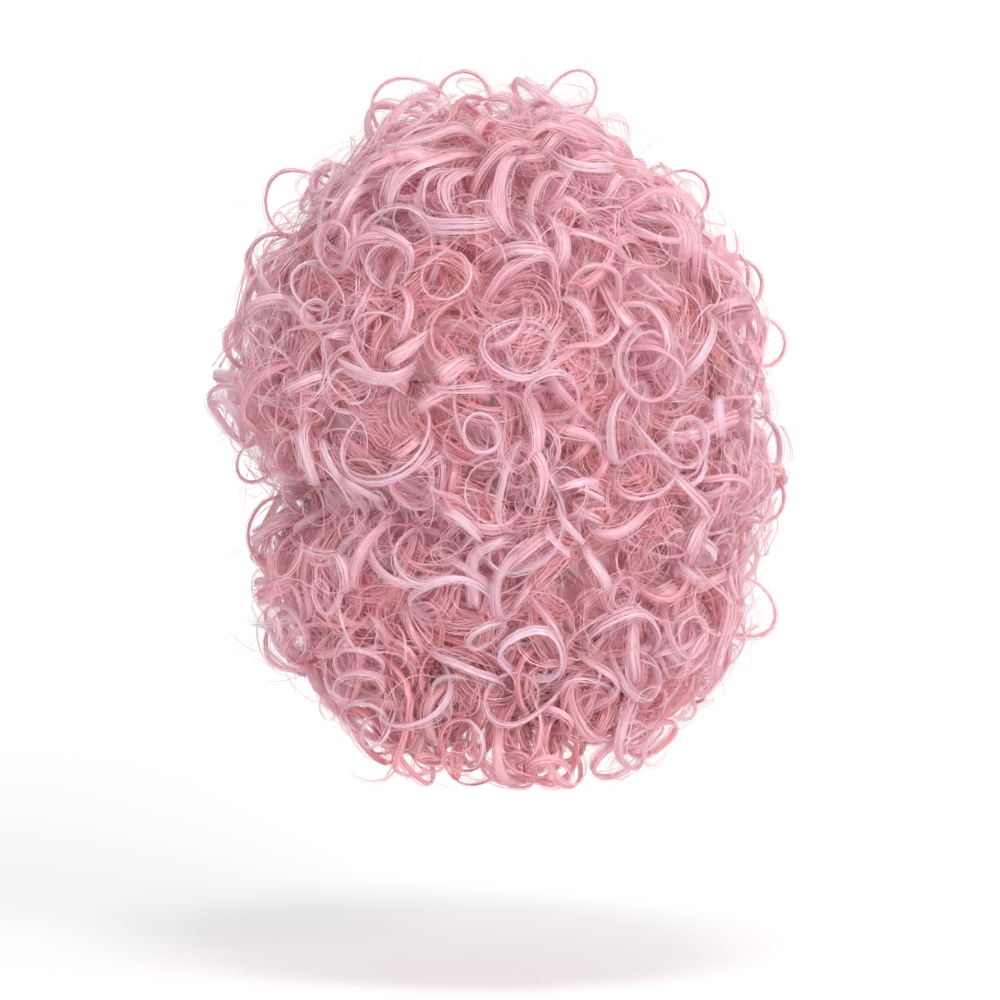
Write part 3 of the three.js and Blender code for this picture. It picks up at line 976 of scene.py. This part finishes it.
def makeBacking(name):
    top, bottom = wefts[name]["top"], wefts[name]["bottom"]
    bm = bmesh.new()
    bmesh.ops.create_grid(bm, x_segments=backing["around"], y_segments=backing["down"], size=0.5)
    uvLayer = bm.loops.layers.uv.new("OFBake")
    flatPlace = {v: (v.co.x + 0.5, 0.5 - v.co.y) for v in bm.verts}
    for face in bm.faces:
        for corner in face.loops:
            across, drop = flatPlace[corner.vert]
            wave = abs((across * backing["repeat"]) % 2 - 1)
            low, high = backing["tone"]
            corner[uvLayer].uv = (0.1 + 0.8 * drop, low + (high - low) * wave)
    for v, (across, drop) in flatPlace.items():
        level = top + backing["gap"] + (bottom - top - 2 * backing["gap"]) * drop
        v.co = shellPoint(level, 2 * math.pi * across, backing["share"])
    bmesh.ops.remove_doubles(bm, verts=bm.verts, dist=0.01)
    lost = [v for v in bm.verts if inHollow(np.array(v.co)[None], -2.0)[0]]
    bmesh.ops.delete(bm, geom=lost, context="VERTS")
    if top == 0:
        fillRim(bm, 0, math.inf)
    if bottom == hem:
        fillRim(bm, -math.inf, min(v.co.z for v in bm.verts) + 1)
    outer = list(bm.faces)
    grown = bmesh.ops.extrude_face_region(bm, geom=outer, use_keep_orig=True)["geom"]
    inner = [item for item in grown if isinstance(item, bmesh.types.BMVert)]
    for v, place in zip(inner, innerPoint(np.array([v.co[:] for v in inner]))):
        v.co = place
    bmesh.ops.recalc_face_normals(bm, faces=bm.faces)
    bmesh.ops.triangulate(bm, faces=[f for f in bm.faces if len(f.verts) > 4])
    bmesh.ops.scale(bm, vec=(mm, mm, mm), verts=bm.verts)
    return bm


# the strands of a weft as one mesh
def strandMesh(name):
    store = stores[name]
    quads = np.concatenate(store["quads"])
    mesh = bpy.data.meshes.new(name + "_strands")
    mesh.vertices.add(store["count"])
    mesh.loops.add(quads.size)
    mesh.polygons.add(len(quads))
    mesh.vertices.foreach_set("co", np.concatenate(store["verts"]).ravel() * mm)
    mesh.loops.foreach_set("vertex_index", quads.ravel())
    mesh.polygons.foreach_set("loop_start", np.arange(0, quads.size, 4))
    mesh.update(calc_edges=True)
    uvs = np.concatenate(store["uvs"])
    mesh.uv_layers.new(name="OFBake").uv.foreach_set("vector", uvs[quads.ravel()].ravel())
    return mesh


def setValues(node, values):
    for key, value in values.items():
        if key in node.inputs:
            node.inputs[key].default_value = value
        else:
            setattr(node, key, value)


def addNode(tree, kind, **values):
    node = tree.nodes.new("ShaderNode" + kind)
    setValues(node, values)
    return node


def ramp(tree, stops):
    node = addNode(tree, "ValToRGB")
    while len(node.color_ramp.elements) < len(stops):
        node.color_ramp.elements.new(0.5)
    for element, (at, colour) in zip(node.color_ramp.elements, stops):
        element.position = at
        element.color = (*colour, 1)
    return node


def newMaterial(name):
    material = bpy.data.materials.new(name)
    material.use_nodes = True
    tree = material.node_tree
    return material, tree, tree.nodes["Principled BSDF"], tree.links.new


hairLook = {
    "tints": [
        (0.0, (0.965, 0.48, 0.50)),
        (0.35, (0.955, 0.60, 0.64)),
        (0.65, (0.945, 0.695, 0.755)),
        (1.0, (0.94, 0.81, 0.885)),
    ],
    "ends": [(0.0, (0.95, 0.80, 0.80)), (0.35, (1, 1, 1)), (1.0, (1, 1, 1))],
    "streakDepth": 0.35,
    "roughness": (0.24, 0.36),
    "translucence": 0.5,
    "shader": {
        "Specular IOR Level": 1.0,
        "IOR": 1.65,
        "Anisotropic": 0.85,
        "Anisotropic Rotation": 0.25,  # the gloss spreads across the fibre
        "Specular Tint": (0.97, 0.92, 1.0, 1),
        "Sheen Weight": 0.06,
        "Sheen Roughness": 0.4,
        "Sheen Tint": (1.0, 0.80, 0.85, 1),
    },
}


# satin fibre: tints lie across the map, and streaks run along each strand
def makeHair():
    material, tree, shader, link = newMaterial("pinkFibre")
    place = addNode(tree, "UVMap", uv_map="OFBake")
    split = addNode(tree, "SeparateXYZ")
    link(place.outputs["UV"], split.inputs[0])
    spread = addNode(tree, "Mapping", Scale=(2.5, lanes * streaksPerLane, 1))
    link(place.outputs["UV"], spread.inputs["Vector"])
    streak = addNode(tree, "TexNoise", Scale=1.0, Detail=3.0, Roughness=0.65)
    link(spread.outputs[0], streak.inputs["Vector"])
    depth = hairLook["streakDepth"]
    limits = {"From Min": 0.3, "From Max": 0.7, "To Min": -depth, "To Max": depth}
    shift = addNode(tree, "MapRange", **limits)
    link(streak.outputs["Fac"], shift.inputs["Value"])
    tone = addNode(tree, "Math", operation="ADD")
    link(split.outputs["Y"], tone.inputs[0])
    link(shift.outputs[0], tone.inputs[1])
    tint = ramp(tree, hairLook["tints"])
    link(tone.outputs[0], tint.inputs[0])
    ends = ramp(tree, hairLook["ends"])
    link(split.outputs["X"], ends.inputs[0])
    colour = addNode(tree, "MixRGB", blend_type="MULTIPLY", Fac=1.0)
    link(tint.outputs[0], colour.inputs["Color1"])
    link(ends.outputs[0], colour.inputs["Color2"])
    link(colour.outputs[0], shader.inputs["Base Color"])
    glow = addNode(tree, "BsdfTranslucent")
    link(colour.outputs[0], glow.inputs["Color"])
    mix = addNode(tree, "MixShader", Fac=hairLook["translucence"])
    link(shader.outputs[0], mix.inputs[1])
    link(glow.outputs[0], mix.inputs[2])
    link(mix.outputs[0], tree.nodes["Material Output"].inputs["Surface"])
    low, high = hairLook["roughness"]
    rough = addNode(tree, "MapRange", **{"To Min": low, "To Max": high})
    link(streak.outputs["Fac"], rough.inputs["Value"])
    link(rough.outputs[0], shader.inputs["Roughness"])
    setValues(shader, hairLook["shader"])
    fibre = addNode(tree, "Tangent", direction_type="UV_MAP", uv_map="OFBake")
    link(fibre.outputs[0], shader.inputs["Tangent"])
    bump = addNode(tree, "Bump", Strength=0.2, Distance=0.0002)
    link(streak.outputs["Fac"], bump.inputs["Height"])
    link(bump.outputs[0], shader.inputs["Normal"])
    return material


# the cap is a stretch net of irregular meshes, the band an elastic with its ribs along it; both are
# painted darker where their pattern sinks, as painted shade in the net's holes and between the ribs
cloths = {
    "cap": {
        "name": "stretchNet",
        "pattern": ("TexVoronoi", {"feature": "DISTANCE_TO_EDGE", "Scale": 520.0}),
        "height": "Distance",
        "threadsAndShade": [(0.0, (0.80, 0.47, 0.52)), (0.12, (0.72, 0.38, 0.43)), (0.2, (0.42, 0.18, 0.21))],
        "roughness": 0.75,
        "bump": {"Strength": 0.5, "Distance": 0.0004, "invert": True},
    },
    "edge_band": {
        "name": "ribbedElastic",
        "pattern": ("TexWave", {"bands_direction": "Z", "Scale": 240.0, "Distortion": 0.6, "Detail": 2.0}),
        "height": "Fac",
        "threadsAndShade": [(0.0, (0.46, 0.20, 0.23)), (1.0, (0.70, 0.38, 0.42))],
        "roughness": 0.7,
        "bump": {"Strength": 0.6, "Distance": 0.0004},
    },
}


def makeCloth(look):
    material, tree, shader, link = newMaterial(look["name"])
    place = addNode(tree, "TexCoord")
    kind, values = look["pattern"]
    pattern = addNode(tree, kind, **values)
    height = pattern.outputs[look["height"]]
    link(place.outputs["Object"], pattern.inputs["Vector"])
    # painted shade: the colour darkens where the pattern's height sinks
    threadAndShade = ramp(tree, look["threadsAndShade"])
    link(height, threadAndShade.inputs[0])
    link(threadAndShade.outputs[0], shader.inputs["Base Color"])
    shader.inputs["Roughness"].default_value = look["roughness"]
    bump = addNode(tree, "Bump", **look["bump"])
    link(height, bump.inputs["Height"])
    link(bump.outputs[0], shader.inputs["Normal"])
    return material


for name, look in cloths.items():
    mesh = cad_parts[name].data
    mesh.materials.clear()
    mesh.materials.append(makeCloth(look))

hairMaterial = makeHair()
total = 0
for name in wefts:
    bm = makeBacking(name)
    strands = strandMesh(name)
    bm.from_mesh(strands)
    mesh = bpy.data.meshes.new(name.replace("weft", "curls"))
    bm.to_mesh(mesh)
    bm.free()
    bpy.data.meshes.remove(strands)
    mesh.polygons.foreach_set("use_smooth", np.ones(len(mesh.polygons), bool))
    normals = np.empty(3 * len(mesh.vertices))
    mesh.vertices.foreach_get("normal", normals)
    normals = normals.reshape(-1, 3)
    normals[-stores[name]["count"]:] = np.concatenate(stores[name]["normals"])
    mesh.normals_split_custom_set_from_vertices(normals)
    mesh.materials.append(hairMaterial)
    hair = bpy.data.objects.new(mesh.name, mesh)
    scene.collection.objects.link(hair)
    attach(hair, "root")
    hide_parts(name)
    mesh.calc_loop_triangles()
    total += len(mesh.loop_triangles)
    print(mesh.name, "triangles:", len(mesh.loop_triangles))
print("triangles in all:", total)


# floor, light and camera
floorLook = {"height": -423, "half": 6000, "fade": (0.3, 1.3)}
bm = bmesh.new()
bmesh.ops.create_grid(bm, x_segments=1, y_segments=1, size=floorLook["half"] * mm)
bmesh.ops.translate(bm, vec=(0, 0, floorLook["height"] * mm), verts=bm.verts)
floorMesh = bpy.data.meshes.new("floor")
bm.to_mesh(floorMesh)
bm.free()
floor = bpy.data.objects.new("floor", floorMesh)
scene.collection.objects.link(floor)


# pale paper that turns into the white of the backdrop further out
def makePaper():
    material, tree, shader, link = newMaterial("palePaper")
    shader.inputs["Base Color"].default_value = (0.92, 0.92, 0.92, 1)
    shader.inputs["Roughness"].default_value = 0.9
    place = addNode(tree, "TexCoord")
    flat = addNode(tree, "VectorMath", operation="MULTIPLY")
    flat.inputs[1].default_value = (1, 1, 0)
    link(place.outputs["Object"], flat.inputs[0])
    reach = addNode(tree, "VectorMath", operation="LENGTH")
    link(flat.outputs[0], reach.inputs[0])
    near, far = floorLook["fade"]
    fade = addNode(tree, "MapRange", **{"From Min": near, "From Max": far})
    link(reach.outputs["Value"], fade.inputs["Value"])
    white = addNode(tree, "Emission", Color=(1, 1, 1, 1), Strength=1.0)
    mix = addNode(tree, "MixShader")
    link(fade.outputs[0], mix.inputs[0])
    link(shader.outputs[0], mix.inputs[1])
    link(white.outputs[0], mix.inputs[2])
    link(mix.outputs[0], tree.nodes["Material Output"].inputs["Surface"])
    return material


floorMesh.materials.append(makePaper())

# soft light from all round; the backdrop itself stays white
worldLook = {"horizon": 0.45, "zenith": 0.68, "backdrop": 1.0}
world = bpy.data.worlds.new("studio")
scene.world = world
world.use_nodes = True
tree = world.node_tree
link = tree.links.new
background = tree.nodes["Background"]
background.inputs["Color"].default_value = (1, 1, 1, 1)
lightPath = addNode(tree, "LightPath")
place = addNode(tree, "TexCoord")
split = addNode(tree, "SeparateXYZ")
link(place.outputs["Generated"], split.inputs[0])
height = addNode(tree, "MapRange", **{"To Min": worldLook["horizon"], "To Max": worldLook["zenith"]})
link(split.outputs["Z"], height.inputs["Value"])
strength = addNode(tree, "MapRange", **{"To Max": worldLook["backdrop"]})
link(height.outputs[0], strength.inputs["To Min"])
link(lightPath.outputs["Is Camera Ray"], strength.inputs["Value"])
link(strength.outputs[0], background.inputs["Strength"])

softboxes = [
    {"name": "keyLight", "at": (-1.0, 1.7, 0.35), "size": 0.5, "watts": 20},
    {"name": "fillLight", "at": (0.9, 1.8, 0.1), "size": 0.5, "watts": 8},
    {"name": "topLight", "at": (-0.2, 0.9, 1.7), "size": 0.6, "watts": 12},
    {"name": "frontLight", "at": (-0.8, -1.8, 0.8), "size": 0.8, "watts": 17},
]
target = Vector((0, 0, -0.13))
for box in softboxes:
    light = bpy.data.lights.new(box["name"], "AREA")
    light.size = box["size"]
    light.energy = box["watts"]
    lamp = bpy.data.objects.new(box["name"], light)
    lamp.location = box["at"]
    lamp.rotation_euler = (target - lamp.location).to_track_quat("-Z", "Y").to_euler()
    scene.collection.objects.link(lamp)

lens = bpy.data.cameras.new("camera")
lens.sensor_width = 36
lens.lens = lens.sensor_width * cameraLook["distance"] / cameraLook["frameWidth"]
camera = bpy.data.objects.new("camera", lens)
tilt = math.radians(cameraLook["elevation"])
aim = Vector(cameraLook["aim"]) * mm
camera.location = aim + cameraLook["distance"] * mm * Vector((0, math.cos(tilt), math.sin(tilt)))
camera.rotation_euler = (aim - camera.location).to_track_quat("-Z", "Y").to_euler()
scene.collection.objects.link(camera)
scene.camera = camera
scene.view_settings.view_transform = "Standard"
scene.cycles.max_bounces = 10  # light that goes on between the hairs keeps the gaps pink
scene.cycles.diffuse_bounces = 8
scene.cycles.transmission_bounces = 8
